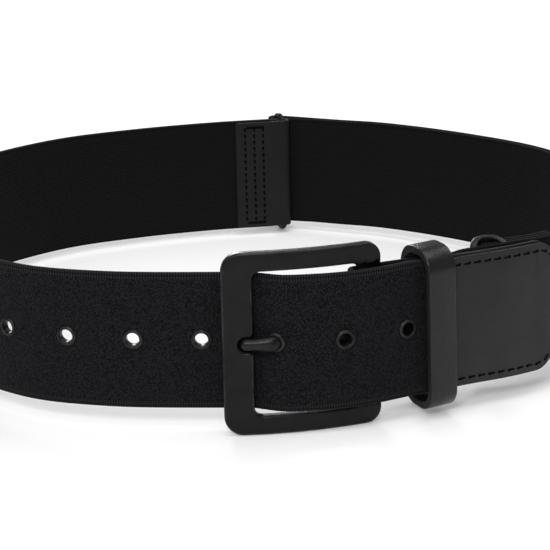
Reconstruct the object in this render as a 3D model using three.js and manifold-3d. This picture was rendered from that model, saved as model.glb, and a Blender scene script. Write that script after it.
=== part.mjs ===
// Elastic stretch belt, fastened: a band with eyelets, a square prong buckle, a leather tip
// and keeper, and a long doubled strap with a slider and a rear ring that set its length.
// Units are millimetres, +Z is up, the buckle faces -Y and the wearer stands inside the loop.
// Every plan outline below is drawn round one loop line, the inner face of the innermost layer:
// "along" is a distance on that line from the prong's hole, towards the buckle's right side,
// and "out" is a distance from it away from the wearer.
import * as THREE from 'three';
import { mergeVertices } from 'three/addons/utils/BufferGeometryUtils.js';
import Module from 'manifold-3d';

const wasm = await Module();
wasm.setup();

// The loop, half its size each way
const LOOP_HALF_WIDTH = 137.8;
const LOOP_HALF_DEPTH = 111.3;

// Webbing
const BAND_WIDTH = 50;
const BAND_THICK = 2;
const STRAP_WIDTH = 48;
const STRAP_THICK = 1.9;
const LAYER_GAP = 0.25;

// Eyelets
const EYELET_PITCH = 24;
const PRONG_STRETCH = 2.6;
const COUNT_BEFORE_PRONG = 4;
const COUNT_AFTER_PRONG = 2;
const EYELET_BORE = 4.9;
const EYELET_RIM = 7.2;
const EYELET_WALL = 0.35;
const EYELET_GAP = 0.25;
const EYELET_SEAT = 1.1;
const EYELET_RISE = 0.7;

// Buckle frame
const FRAME_WIDTH = 57.2;
const FRAME_HEIGHT = 66.8;
const FRAME_THICK = 3.6;
const FRAME_BOW = 135;
const FRAME_SIDE_BAR = 10.85;
const FRAME_EDGE_BAR = 7;
const HINGE_BAR = 8.2;
const HINGE_BAR_THICK = 2.8;
const FRAME_LEFT_CORNER = 7;
const FRAME_RIGHT_CORNER = 5.5;
const WINDOW_CORNER = 2.8;
const FRAME_ALONG = 9.05;
const FRAME_TURN = 2;
const FRAME_GAP = 0.35;

// Prong
const PRONG_THICK = 3.9;
const PRONG_TIP_REST = 1.7;
const PRONG_PROUD = 1.9;
const PRONG_DIVE = 51;
const PRONG_BEND = 2.3;
const PRONG_EYE_WALL = 1.5;
const PRONG_EYE_HEIGHT = 5;
const PRONG_EYE_SLACK = 1.1;
const PRONG_CLEARANCE = 0.8;

// Keeper loop
const KEEPER_WIDTH = 10.8;
const KEEPER_HEIGHT = 60;
const KEEPER_DEPTH = 20;
const KEEPER_WALL = 2.7;
const KEEPER_CORNER = 8;
const KEEPER_ALONG = 55.9;
const KEEPER_OUT = 3.7;
const KEEPER_RISE = -1.1;
const KEEPER_LEAN = -1.3;

// Leather tip
const TIP_PLY = 1;
const TIP_WIDTH = 48.4;
const TIP_LIFT = 0.75;
const TIP_START = 57.5;
const TIP_SHOULDER = 100;
const TIP_TAPER = 22;
const TIP_NOSE = 7;
const TIP_INSET = 0.75;
const TIP_CORNER = 8;

// Slider on the doubled strap
const SLIDER_LENGTH = 16;
const SLIDER_ALONG = 82.2;
const SLIDER_BAR = 2.2;
const SLIDER_OUTER_BAR = 1.7;
const SLIDER_RAIL = 1.8;
const SLIDER_CLEARANCE = 0.35;
const SLIDER_CORNER = 5.5;

// Rear ring and its leather tab
const RING_WIRE = 2.2;
const RING_CLEARANCE = 0.6;
const RING_BAR_PITCH = 8.3;
const RING_TURN = 7;
const RING_DROP = 0.6;
const RING_CORNER = 2.6;
const RING_ALONG = 367.8;
const TAB_LEATHER = 1.4;
const TAB_LENGTH = 22;
const TAB_WIDTH = 48.6;

// The strap's two sewn ends
const BUCKLE_RETURN = 33;
const FOLD_SLACK = 1.6;
const SLIDER_RETURN = 27;

// Lengths over which a layer eases from one distance out to another, and short setbacks
const SLIDER_EASE = 13;
const FRONT_EASE = 10;
const HINGE_EASE = 12;
const RING_EASE = 19;
const RING_TAIL = 12;
const FREE_EASE = 6.5;
const TAB_EASE = 7;
const BAR_SETBACK = 3;
const BAND_SETBACK = 6;
const SLIDER_SETBACK = 1.5;
const EYELET_LEVEL = 1.45;
const PRONG_STRAIGHT = 3.3;
const SPARE = 2;

const WINDOW_SETBACK = 0.5;
const FOLD_SETBACK = 1;
const MOUTH_CORNER = 0.1;

const UP = new THREE.Vector3(0, 0, 1);

// How finely curves are cut: sides of a small round, and the longest step along each line
const ROUND = 16;
const WEBBING_STEP = 6;
const LEATHER_STEP = 5;
const ARCH_STEPS = 12;
const ROD_STEPS = 44;
const ROD_SIDES = 12;
const EYE_STEPS = 4;
const FOLD_STEPS = 3;

// The loop line's shape, in shares of the half width and half depth above
const LOOP_LINE = [
  { across: -0.004, deep: -1.000 },
  { across: 0.141, deep: -0.969 },
  { across: 0.286, deep: -0.907 },
  { across: 0.446, deep: -0.811 },
  { across: 0.615, deep: -0.718 },
  { across: 0.790, deep: -0.559 },
  { across: 0.922, deep: -0.313 },
  { across: 0.955, deep: -0.008 },
  { across: 0.813, deep: 0.411 },
  { across: 0.597, deep: 0.670 },
  { across: 0.351, deep: 0.868 },
  { across: 0.220, deep: 0.929 },
  { across: 0.090, deep: 0.982 },
  { across: 0.034, deep: 0.961 },
  { across: -0.050, deep: 0.946 },
  { across: -0.176, deep: 0.922 },
  { across: -0.434, deep: 0.836 },
  { across: -0.685, deep: 0.695 },
  { across: -0.929, deep: 0.379 },
  { across: -1.000, deep: 0.073 },
  { across: -0.873, deep: -0.570 },
  { across: -0.654, deep: -0.864 },
  { across: -0.445, deep: -0.960 },
  { across: -0.192, deep: -0.996 },
];

const loopPoints = LOOP_LINE.map(({ across, deep }) => (
  new THREE.Vector3(across * LOOP_HALF_WIDTH, deep * LOOP_HALF_DEPTH, 0)
));
const loop = new THREE.CatmullRomCurve3(loopPoints, true, 'centripetal');
loop.arcLengthDivisions = 2000;
const LOOP_LENGTH = loop.getLength();

// A place on the loop: its point, the way the belt runs there, and the way out
function place(along, out = 0) {
  const share = THREE.MathUtils.euclideanModulo(along / LOOP_LENGTH, 1);
  const point = loop.getPointAt(share);
  const run = loop.getTangentAt(share).setZ(0).normalize();
  const outward = run.clone().cross(UP);
  point.addScaledVector(outward, out);
  return { point, run, outward };
}

// A line of plan points from rows of along and out, with even eases between the rows
function follow(rows, coarse = 8, fine = 2.6) {
  const points = [place(rows[0].along, rows[0].out).point];
  for (let row = 1; row < rows.length; row += 1) {
    const from = rows[row - 1];
    const to = rows[row];
    const step = from.out === to.out ? coarse : fine;
    const count = Math.max(1, Math.round(Math.abs(to.along - from.along) / step));
    for (let piece = 1; piece <= count; piece += 1) {
      const share = piece / count;
      const ease = to.straight ? share : THREE.MathUtils.smoothstep(share, 0, 1);
      const along = THREE.MathUtils.lerp(from.along, to.along, share);
      points.push(place(along, THREE.MathUtils.lerp(from.out, to.out, ease)).point);
    }
  }
  return points;
}

// Half a turn round a bar, from one side of it to the other
function turnRound(centre, radius, fromAngle, sweep, steps = 8) {
  const points = [];
  for (let step = 0; step <= steps; step += 1) {
    const angle = fromAngle + sweep * (step / steps);
    points.push(new THREE.Vector3(Math.cos(angle), Math.sin(angle), 0).multiplyScalar(radius).add(centre));
  }
  return points;
}

// A web of one thickness along a line of plan points, as tall as its width, centred on z = 0
function web(points, thick, height) {
  const right = [];
  const left = [];
  points.forEach((point, index) => {
    const into = point.clone().sub(points[Math.max(index - 1, 0)]).normalize();
    const away = points[Math.min(index + 1, points.length - 1)].clone().sub(point).normalize();
    const run = into.clone().add(away).normalize();
    const known = into.lengthSq() > 0.5 ? into : away;
    const side = run.clone().cross(UP).multiplyScalar(thick / 2 / run.dot(known));
    right.push(new THREE.Vector2(point.x + side.x, point.y + side.y));
    left.push(new THREE.Vector2(point.x - side.x, point.y - side.y));
  });
  const outline = new THREE.Shape([...right, ...left.reverse()]);
  return drawn(outline, height);
}

// A flat shape drawn out evenly either side of its own plane
function drawn(shape, depth, options = {}) {
  const geometry = new THREE.ExtrudeGeometry(shape, {
    depth, bevelEnabled: false, curveSegments: 5, ...options,
  });
  return geometry.translate(0, 0, -depth / 2);
}

// Stands a shape drawn as seen from outside the loop at a place on it
function facing(geometry, spot) {
  const turn = new THREE.Matrix4().makeBasis(spot.run, UP, spot.outward);
  return geometry.applyMatrix4(turn.setPosition(spot.point));
}

// Stands a shape drawn as seen along the belt at a place on it
function endOn(geometry, spot) {
  const back = spot.run.clone().negate();
  const turn = new THREE.Matrix4().makeBasis(spot.outward, UP, back);
  return geometry.applyMatrix4(turn.setPosition(spot.point));
}

function roundedBox(left, right, bottom, top, corners) {
  const { leftCorner, rightCorner } = corners;
  const shape = new THREE.Shape();
  shape.moveTo(left + leftCorner, bottom);
  shape.lineTo(right - rightCorner, bottom);
  shape.absarc(right - rightCorner, bottom + rightCorner, rightCorner, -Math.PI / 2, 0);
  shape.absarc(right - rightCorner, top - rightCorner, rightCorner, 0, Math.PI / 2);
  shape.absarc(left + leftCorner, top - leftCorner, leftCorner, Math.PI / 2, Math.PI);
  shape.absarc(left + leftCorner, bottom + leftCorner, leftCorner, Math.PI, 1.5 * Math.PI);
  shape.closePath();
  return shape;
}

function solid(geometry) {
  const bare = geometry.clone();
  bare.deleteAttribute('normal');
  bare.deleteAttribute('uv');
  const merged = mergeVertices(bare, 1e-4);
  return new wasm.Manifold(new wasm.Mesh({
    numProp: 3,
    vertProperties: new Float32Array(merged.attributes.position.array),
    triVerts: new Uint32Array(merged.index.array),
  }));
}

const FINISH = {
  elastic: { color: 0x17181b, roughness: 0.95, metalness: 0 },
  leather: { color: 0x2b2b2c, roughness: 0.55, metalness: 0 },
  black_metal: { color: 0x1c1c1d, roughness: 0.5, metalness: 0.4 },
  eyelet_metal: { color: 0x2a2a2c, roughness: 0.35, metalness: 0.8 },
};
const belt = new THREE.Group();

function add(name, body, finish) {
  const shape = body.getMesh();
  const geometry = new THREE.BufferGeometry();
  geometry.setAttribute('position', new THREE.BufferAttribute(shape.vertProperties, 3));
  geometry.setIndex(new THREE.BufferAttribute(shape.triVerts, 1));
  geometry.computeVertexNormals();
  const mesh = new THREE.Mesh(geometry, new THREE.MeshStandardMaterial(FINISH[finish]));
  mesh.name = name;
  belt.add(mesh);
  return mesh;
}

// Layers at the front, from the wearer outwards: sewn return, long strap, then the free end
const RETURN_OUT = STRAP_THICK / 2;
const LONG_OUT = RETURN_OUT + STRAP_THICK + LAYER_GAP;
const FREE_START_OUT = LONG_OUT + STRAP_THICK / 2 + LAYER_GAP + BAND_THICK / 2;
const TIP_INNER_OUT = LONG_OUT + STRAP_THICK / 2 + LAYER_GAP + TIP_LIFT + TIP_PLY / 2;
const FREE_OUT = TIP_INNER_OUT + TIP_PLY / 2 + LAYER_GAP + BAND_THICK / 2;
const TIP_OUTER_OUT = FREE_OUT + BAND_THICK / 2 + LAYER_GAP + TIP_PLY / 2;

// The eyelet band's climb, either side of the prong's hole
const HOLE_OUT = 5.25;
const CLIMB_HALF = 4.2;
const CLIMB_RISE = 2.16;

// Buckle: seen from outside, with its centre at FRAME_ALONG, bowed to a long radius
const FRAME_BACK = BAND_THICK + FRAME_GAP;
const FRAME_FRONT = FRAME_BACK + FRAME_THICK;
const frameSpot = place(FRAME_ALONG);
frameSpot.run.applyAxisAngle(UP, THREE.MathUtils.degToRad(FRAME_TURN));
frameSpot.outward.applyAxisAngle(UP, THREE.MathUtils.degToRad(FRAME_TURN));
const HINGE_LEFT = FRAME_WIDTH / 2 - HINGE_BAR;
const WINDOW_LEFT = -FRAME_WIDTH / 2 + FRAME_SIDE_BAR;
const WINDOW_HALF = FRAME_HEIGHT / 2 - FRAME_EDGE_BAR;
const NOTCH_HALF = PRONG_THICK / 2 + PRONG_CLEARANCE;
const PRONG_REACH = WINDOW_LEFT - NOTCH_HALF * 2 + PRONG_TIP_REST;

// A point of the buckle by its distance from the buckle's centre and from its front face
function onFrame(across, behind) {
  const radius = FRAME_BOW - behind;
  const angle = across / FRAME_BOW;
  const forward = FRAME_FRONT - FRAME_BOW + radius * Math.cos(angle);
  return frameSpot.point.clone()
    .addScaledVector(frameSpot.run, radius * Math.sin(angle))
    .addScaledVector(frameSpot.outward, forward);
}

function frameArc(from, to, behind, steps = 12) {
  return Array.from({ length: steps + 1 }, (_, step) => (
    onFrame(THREE.MathUtils.lerp(from, to, step / steps), behind)
  ));
}

function makeFrame() {
  const half = FRAME_WIDTH / 2;
  const slab = web(frameArc(-half - SPARE, half + SPARE, FRAME_THICK / 2), FRAME_THICK, FRAME_HEIGHT);
  const outline = roundedBox(-half, half, -FRAME_HEIGHT / 2, FRAME_HEIGHT / 2, {
    leftCorner: FRAME_LEFT_CORNER, rightCorner: FRAME_RIGHT_CORNER,
  });
  const window = roundedBox(WINDOW_LEFT, HINGE_LEFT, -WINDOW_HALF, WINDOW_HALF, {
    leftCorner: WINDOW_CORNER, rightCorner: WINDOW_CORNER,
  });
  const notchEnd = WINDOW_LEFT - NOTCH_HALF;
  const notch = roundedBox(notchEnd - NOTCH_HALF, WINDOW_LEFT + NOTCH_HALF, -NOTCH_HALF, NOTCH_HALF, {
    leftCorner: NOTCH_HALF, rightCorner: MOUTH_CORNER,
  });
  const through = FRAME_THICK * 8;
  const recessDepth = FRAME_THICK - HINGE_BAR_THICK;
  const recessArc = frameArc(HINGE_LEFT - SPARE, half + SPARE, (recessDepth - SPARE) / 2, FOLD_STEPS);
  const recess = web(recessArc, recessDepth + SPARE, BAND_WIDTH + SPARE);
  return solid(slab)
    .intersect(solid(facing(drawn(outline, through), frameSpot)))
    .subtract(solid(facing(drawn(window, through * 2), frameSpot)))
    .subtract(solid(facing(drawn(notch, through * 2), frameSpot)))
    .subtract(solid(recess));
}
const frame = makeFrame();

// Layers over and behind the hinge bar, as distances behind the buckle's front face
const HINGE_RECESS = FRAME_THICK - HINGE_BAR_THICK;
const FOLD_FRONT = HINGE_RECESS - LAYER_GAP - STRAP_THICK / 2;
const FOLD_BACK = FRAME_THICK + LAYER_GAP + STRAP_THICK / 2;
const FREE_FRONT = FOLD_FRONT - STRAP_THICK / 2 - LAYER_GAP - BAND_THICK / 2;
const HINGE_RIGHT = FRAME_WIDTH / 2;
const HINGE_END = FRAME_ALONG + HINGE_RIGHT;

// The eyelet band climbs at the prong's hole, from behind the buckle to over its hinge bar
const WINDOW_ALONG = FRAME_ALONG + WINDOW_LEFT;
const behindFrame = follow([
  { along: RING_ALONG - LOOP_LENGTH + BAND_SETBACK, out: BAND_THICK / 2 },
  { along: WINDOW_ALONG + WINDOW_SETBACK, out: BAND_THICK / 2 },
  { along: -CLIMB_HALF, out: HOLE_OUT - CLIMB_RISE },
  { along: 0, out: HOLE_OUT, straight: true },
], WEBBING_STEP);
const climb = follow([
  { along: 0, out: HOLE_OUT },
  { along: CLIMB_HALF, out: HOLE_OUT + CLIMB_RISE, straight: true },
]);
const freeEnd = follow([
  { along: TIP_START - FREE_EASE, out: FREE_START_OUT + EYELET_SEAT },
  { along: TIP_START, out: FREE_OUT },
  { along: TIP_SHOULDER + TIP_TAPER, out: FREE_OUT },
], WEBBING_STEP);
// The climb ends where the band lies level for the next eyelet's rim
const CLIMB_END = EYELET_PITCH - EYELET_RIM / 2 - EYELET_LEVEL - FRAME_ALONG;
const bandPoints = [
  ...behindFrame,
  ...climb.slice(1),
  ...frameArc(CLIMB_END, HINGE_RIGHT, FREE_FRONT, 2),
  ...freeEnd,
];
const holeIndex = behindFrame.length - 1;

// A place on a line of plan points, a walked distance from one of them
function walk(points, index, distance) {
  const step = Math.sign(distance);
  let left = Math.abs(distance);
  let here = index;
  while (step !== 0 && left > points[here].distanceTo(points[here + step])) {
    left -= points[here].distanceTo(points[here + step]);
    here += step;
  }
  const next = points[here + (step || 1)];
  const run = next.clone().sub(points[here]).normalize();
  const point = points[here].clone().addScaledVector(run, left);
  run.multiplyScalar(step || 1);
  return { point, run, outward: run.clone().cross(UP) };
}

function disc(radius, depth, spot, options = {}) {
  const shape = new THREE.Shape().absarc(0, 0, radius, 0, 2 * Math.PI);
  return facing(drawn(shape, depth, { curveSegments: ROUND / 2, ...options }), spot);
}

function makeEyelet(spot) {
  const bore = EYELET_BORE / 2;
  const rim = EYELET_RIM / 2;
  const barrel = bore + EYELET_WALL;
  const seat = BAND_THICK / 2 + EYELET_GAP;
  const face = seat + EYELET_WALL;
  const profile = [
    [bore, -face], [rim, -face], [rim, -seat], [barrel, -seat],
    [barrel, seat], [rim, seat], [rim, face], [bore, face], [bore, -face],
  ].map(([radius, height]) => new THREE.Vector2(radius, height));
  const geometry = new THREE.LatheGeometry(profile, ROUND).rotateX(Math.PI / 2);
  return facing(geometry, spot);
}

const HOLE_RADIUS = EYELET_BORE / 2 + EYELET_WALL + EYELET_GAP;
const eyeletSpots = [];
for (let number = -COUNT_BEFORE_PRONG; number <= COUNT_AFTER_PRONG; number += 1) {
  const stretch = number < 0 ? PRONG_STRETCH : 0;
  const spot = walk(bandPoints, holeIndex, number * EYELET_PITCH - stretch);
  spot.point.z = EYELET_RISE;
  eyeletSpots.push(spot);
}

// The tip's outline, seen from outside, drawn square to the belt at the shoulder
function tipCutter(inset) {
  const spot = place(TIP_SHOULDER);
  const half = TIP_WIDTH / 2 - inset;
  const nose = TIP_TAPER - inset;
  const slope = Math.atan2(TIP_WIDTH / 2 - TIP_NOSE, TIP_TAPER);
  const setBack = TIP_CORNER * Math.tan(slope / 2);
  const noseHalf = TIP_NOSE - inset;
  const noseRound = noseHalf / 2;
  const start = TIP_START - TIP_SHOULDER - BAND_WIDTH;
  const shape = new THREE.Shape();
  shape.moveTo(start, -half);
  shape.lineTo(-setBack, -half);
  shape.absarc(-setBack, -half + TIP_CORNER, TIP_CORNER, -Math.PI / 2, slope - Math.PI / 2);
  shape.lineTo(nose - noseRound, -noseHalf);
  shape.quadraticCurveTo(nose, -noseHalf + noseRound / 2, nose, 0);
  shape.quadraticCurveTo(nose, noseHalf - noseRound / 2, nose - noseRound, noseHalf);
  shape.lineTo(-setBack + TIP_CORNER * Math.sin(slope), half - TIP_CORNER * (1 - Math.cos(slope)));
  shape.absarc(-setBack, half - TIP_CORNER, TIP_CORNER, Math.PI / 2 - slope, Math.PI / 2);
  shape.lineTo(start, half);
  shape.closePath();
  return solid(facing(drawn(shape, BAND_WIDTH, { curveSegments: 4 }), spot));
}

// Cuts the end of a web to the tip's outline, and leaves the rest of a long web alone
function pointed(body, inset, keepFrom) {
  const spot = place(TIP_SHOULDER);
  const far = TIP_TAPER * 4;
  const near = TIP_SHOULDER - keepFrom;
  const shape = roundedBox(-near, far, -BAND_WIDTH, BAND_WIDTH, { leftCorner: 1, rightCorner: 1 });
  const region = solid(facing(drawn(shape, BAND_WIDTH), spot));
  return body.subtract(region.subtract(tipCutter(inset)));
}

function makeEyeletBand() {
  let band = solid(web(bandPoints, BAND_THICK, BAND_WIDTH));
  eyeletSpots.forEach((spot) => {
    band = band.subtract(solid(disc(HOLE_RADIUS, BAND_THICK * 3, spot)));
  });
  return pointed(band, TIP_INSET, TIP_START + TIP_INSET);
}
add('eyelet_band', makeEyeletBand(), 'elastic');
eyeletSpots.forEach((spot, index) => {
  add(`eyelet_${index + 1}`, solid(makeEyelet(spot)), 'eyelet_metal');
});

function makeTipPly(out) {
  const rows = [{ along: TIP_START, out }, { along: TIP_SHOULDER + TIP_TAPER * 1.5, out }];
  return solid(web(follow(rows, WEBBING_STEP), TIP_PLY, TIP_WIDTH)).intersect(tipCutter(0));
}
add('tip_inner_ply', makeTipPly(TIP_INNER_OUT), 'leather');
add('tip_outer_ply', makeTipPly(TIP_OUTER_OUT), 'leather');
add('buckle_frame', frame, 'black_metal');

// Rear ring: the leather holds its inner bar and the doubled strap its outer bar
const TAB_INNER = -LAYER_GAP - TAB_LEATHER / 2;
const TAB_OUTER = BAND_THICK + LAYER_GAP + TAB_LEATHER / 2;
const TAB_BEND = RING_WIRE / 2 + LAYER_GAP + TAB_LEATHER / 2;
const ringSpot = place(RING_ALONG);
const ringAcross = ringSpot.outward.clone()
  .applyAxisAngle(UP, THREE.MathUtils.degToRad(RING_TURN));
const tabBar = place(RING_ALONG, TAB_INNER + TAB_BEND).point;
const strapBar = tabBar.clone().addScaledVector(ringAcross, RING_BAR_PITCH);
const STRAP_BEND = RING_WIRE / 2 + LAYER_GAP + STRAP_THICK / 2;

const RING_HEIGHT = TAB_WIDTH + (RING_WIRE + RING_CLEARANCE) * 2;

function makeRing() {
  const half = (RING_BAR_PITCH + RING_WIRE) / 2;
  const top = RING_HEIGHT / 2;
  const outline = roundedBox(-half, half, -top, top, {
    leftCorner: RING_CORNER, rightCorner: RING_CORNER,
  });
  const inside = RING_CORNER - RING_WIRE;
  outline.holes.push(roundedBox(-half + RING_WIRE, half - RING_WIRE, -top + RING_WIRE, top - RING_WIRE, {
    leftCorner: inside, rightCorner: inside,
  }));
  const edge = RING_WIRE * (1 - Math.SQRT1_2);
  const middle = tabBar.clone().lerp(strapBar, 0.5);
  const ringRun = UP.clone().cross(ringAcross);
  const spot = { point: middle, run: ringRun, outward: ringAcross };
  const geometry = new THREE.ExtrudeGeometry(outline, {
    depth: RING_WIRE - edge * 2,
    bevelEnabled: true,
    bevelThickness: edge,
    bevelSize: edge,
    bevelOffset: -edge,
    bevelSegments: 1,
    curveSegments: 4,
  });
  const ring = endOn(geometry.translate(0, 0, edge - RING_WIRE / 2), spot);
  return solid(ring.translate(0, 0, -RING_DROP));
}
add('rear_ring', makeRing(), 'black_metal');

function angleOf(vector) {
  return Math.atan2(vector.y, vector.x);
}

function makeTab() {
  const end = RING_ALONG + TAB_LENGTH;
  const inner = follow([
    { along: end, out: TAB_INNER },
    { along: RING_ALONG + BAR_SETBACK, out: TAB_INNER },
  ], LEATHER_STEP);
  const bend = turnRound(tabBar, TAB_BEND, angleOf(ringSpot.outward) + Math.PI, Math.PI);
  const outer = follow([
    { along: RING_ALONG + BAR_SETBACK, out: TAB_INNER + TAB_BEND * 2 + LAYER_GAP },
    { along: RING_ALONG + BAR_SETBACK + TAB_EASE, out: TAB_OUTER },
    { along: end, out: TAB_OUTER },
  ], LEATHER_STEP);
  return solid(web([...inner, ...bend, ...outer], TAB_LEATHER, TAB_WIDTH));
}
add('rear_tab', makeTab(), 'leather');

// The doubled strap: sewn round the slider's middle bar, back from the rear ring over the
// first layer, through the slider, round the hinge bar and sewn to itself behind it
const SLIDER_MID_OUT = -LAYER_GAP - STRAP_THICK - LAYER_GAP - SLIDER_BAR / 2;
const SLIDER_BEND = SLIDER_BAR / 2 + LAYER_GAP + STRAP_THICK / 2;
const SLIDER_DIP = RETURN_OUT;
const SLIDER_UNDER = SLIDER_MID_OUT + SLIDER_BEND;
const SLIDER_TAIL = SLIDER_MID_OUT - SLIDER_BEND;

function makeStrap() {
  const sliderSpot = place(SLIDER_ALONG, SLIDER_MID_OUT);
  const sliderFar = SLIDER_ALONG + SLIDER_LENGTH / 2;
  const sliderNear = SLIDER_ALONG - SLIDER_LENGTH / 2;
  const under = STRAP_THICK + LAYER_GAP;
  const tail = follow([
    { along: SLIDER_ALONG + SLIDER_RETURN, out: RETURN_OUT - under },
    { along: sliderFar + SLIDER_EASE, out: RETURN_OUT - under },
    { along: sliderFar, out: SLIDER_UNDER - under },
    { along: SLIDER_ALONG + SLIDER_SETBACK, out: SLIDER_TAIL },
  ], WEBBING_STEP);
  const firstTurn = turnRound(sliderSpot.point, SLIDER_BEND, angleOf(sliderSpot.outward) + Math.PI, Math.PI);
  const first = follow([
    { along: SLIDER_ALONG + SLIDER_SETBACK, out: SLIDER_UNDER },
    { along: sliderFar, out: SLIDER_UNDER },
    { along: sliderFar + SLIDER_EASE, out: RETURN_OUT },
    { along: RING_ALONG - RING_TAIL, out: RETURN_OUT },
  ], WEBBING_STEP);
  const ringSide = place(RING_ALONG - RING_EASE).outward;
  const secondTurn = turnRound(strapBar, STRAP_BEND, angleOf(ringSide) + Math.PI, -Math.PI);
  const second = follow([
    { along: RING_ALONG - RING_EASE, out: LONG_OUT },
    { along: sliderFar + SLIDER_EASE, out: LONG_OUT },
    { along: sliderFar + SLIDER_SETBACK, out: SLIDER_DIP },
    { along: sliderNear - SLIDER_SETBACK, out: SLIDER_DIP },
    { along: sliderNear - FRONT_EASE, out: LONG_OUT },
    { along: HINGE_END + HINGE_EASE, out: LONG_OUT },
  ], WEBBING_STEP);
  const overBar = frameArc(HINGE_RIGHT, HINGE_LEFT, FOLD_FRONT, FOLD_STEPS);
  const foldBend = (FOLD_BACK - FOLD_FRONT) / 2;
  const foldMiddle = (FOLD_BACK + FOLD_FRONT) / 2;
  const foldSpot = onFrame(HINGE_LEFT - FOLD_SLACK - STRAP_THICK / 2 + foldBend, foldMiddle);
  const foldAngle = angleOf(frameSpot.outward) + HINGE_LEFT / FRAME_BOW;
  const thirdTurn = turnRound(foldSpot, foldBend, foldAngle, -Math.PI);
  const behindBar = frameArc(HINGE_LEFT + FOLD_SETBACK, HINGE_RIGHT, FOLD_BACK, FOLD_STEPS);
  const third = follow([
    { along: HINGE_END + HINGE_EASE, out: RETURN_OUT },
    { along: FRAME_ALONG + HINGE_LEFT + BUCKLE_RETURN, out: RETURN_OUT },
  ], WEBBING_STEP);
  return solid(web(
    [
      ...tail, ...firstTurn, ...first, ...secondTurn, ...second,
      ...overBar.slice(0, -1), ...thirdTurn, ...behindBar, ...third,
    ],
    STRAP_THICK,
    STRAP_WIDTH,
  ));
}

function slotForProng() {
  const half = PRONG_EYE_HEIGHT / 2 + PRONG_CLEARANCE;
  const left = HINGE_LEFT - HINGE_BAR;
  const right = FRAME_WIDTH / 2 + SPARE * 2;
  const shape = roundedBox(left, right, -half, half, { leftCorner: half, rightCorner: half });
  return solid(facing(drawn(shape, FRAME_THICK * 6), frameSpot));
}
add('adjusting_strap', makeStrap().subtract(slotForProng()), 'elastic');

// Slider: two arched rails joined by a middle bar and two outer bars
function makeSlider() {
  const outerOut = SLIDER_DIP + STRAP_THICK / 2 + LAYER_GAP + SLIDER_OUTER_BAR / 2;
  const halfSpan = SLIDER_LENGTH / 2 - SLIDER_BAR / 2;
  const railFoot = STRAP_WIDTH / 2 + SLIDER_CLEARANCE;
  const height = (railFoot + SLIDER_RAIL) * 2;
  const rise = outerOut - SLIDER_MID_OUT;
  const bow = (halfSpan * halfSpan + rise * rise) / (2 * rise);
  const reach = Math.asin(Math.min(halfSpan / bow, 1));
  const arc = Array.from({ length: ARCH_STEPS + 1 }, (_, step) => {
    const angle = THREE.MathUtils.lerp(-reach, reach, step / ARCH_STEPS);
    return place(SLIDER_ALONG + bow * Math.sin(angle), SLIDER_MID_OUT + bow * (1 - Math.cos(angle))).point;
  });
  const arch = solid(web(arc, SLIDER_RAIL, height));
  const gap = solid(facing(
    new THREE.BoxGeometry(SLIDER_LENGTH * 3, railFoot * 2, SLIDER_LENGTH * 3),
    place(SLIDER_ALONG),
  ));
  const bar = (along, out, deep) => solid(facing(
    new THREE.BoxGeometry(SLIDER_BAR, height - SLIDER_RAIL, deep),
    place(SLIDER_ALONG + along, out),
  ));
  const rod = SLIDER_BAR / 2;
  const middleBar = new THREE.CylinderGeometry(rod, rod, height - SLIDER_RAIL, ROD_SIDES);
  const outline = roundedBox(-SLIDER_LENGTH / 2, SLIDER_LENGTH / 2, -height / 2, height / 2, {
    leftCorner: SLIDER_CORNER, rightCorner: SLIDER_CORNER,
  });
  return arch.subtract(gap)
    .add(solid(facing(middleBar, place(SLIDER_ALONG, SLIDER_MID_OUT))))
    .add(bar(-halfSpan, outerOut, SLIDER_OUTER_BAR))
    .add(bar(halfSpan, outerOut, SLIDER_OUTER_BAR))
    .intersect(solid(facing(drawn(outline, SLIDER_LENGTH * 3), place(SLIDER_ALONG))));
}
add('slider', makeSlider(), 'black_metal');

function makeKeeper() {
  const deep = KEEPER_DEPTH / 2;
  const high = KEEPER_HEIGHT / 2;
  const shape = roundedBox(-deep, deep, -high, high, {
    leftCorner: KEEPER_CORNER, rightCorner: KEEPER_CORNER,
  });
  const corner = KEEPER_CORNER - KEEPER_WALL;
  const innerDeep = deep - KEEPER_WALL;
  const innerHigh = high - KEEPER_WALL;
  shape.holes.push(roundedBox(-innerDeep, innerDeep, -innerHigh, innerHigh, {
    leftCorner: corner, rightCorner: corner,
  }));
  const lean = new THREE.Matrix4().makeRotationX(THREE.MathUtils.degToRad(KEEPER_LEAN));
  const geometry = drawn(shape, KEEPER_WIDTH).applyMatrix4(lean);
  return solid(endOn(geometry, place(KEEPER_ALONG, KEEPER_OUT)).translate(0, 0, KEEPER_RISE));
}
add('keeper', makeKeeper(), 'leather');

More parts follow.
